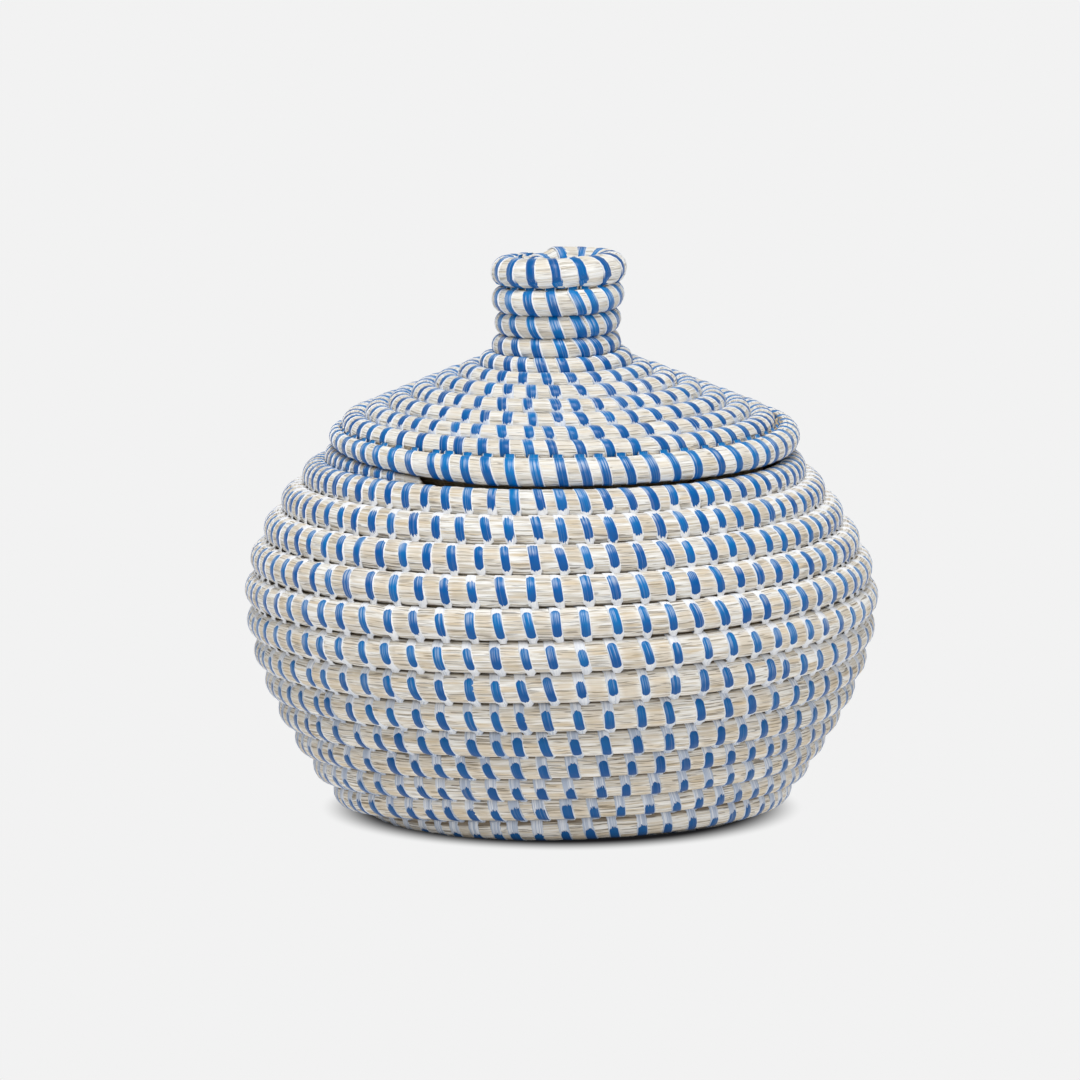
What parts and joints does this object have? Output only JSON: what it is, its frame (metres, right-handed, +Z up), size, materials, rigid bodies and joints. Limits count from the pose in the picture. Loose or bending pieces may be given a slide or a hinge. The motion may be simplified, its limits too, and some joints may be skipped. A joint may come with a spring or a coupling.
{
  "type": "seagrass basket",
  "caption": "Round lidded basket coiled from bound seagrass cord, with a narrow base, a full belly and a low conical lid with a tall knob that drops into the mouth.",
  "frame": {"origin": "middle of the base, on the floor that the basket stands on", "axes": "+Z up along the basket's axis, -Y towards the front, which is the side in the picture, +X to the right seen from the front"},
  "size_m": [0.2201, 0.22, 0.1951],
  "materials": {
    "painted_seagrass": "whitewashed seagrass cord bound with glossy blue strip, matte",
    "bare_seagrass": "unpainted seagrass cord, matte"
  },
  "bodies": {
    "basket": {"body_coil": "painted_seagrass"},
    "lid": {"knob_coil": "painted_seagrass", "lid_coil": "painted_seagrass", "locating_ring": "bare_seagrass"}
  },
  "joints": [
    {"name": "lid_lift", "type": "slide", "parent": "basket", "child": "lid", "axis": [0, 0, 1], "range_m": [0, 0.1]}
  ]
}
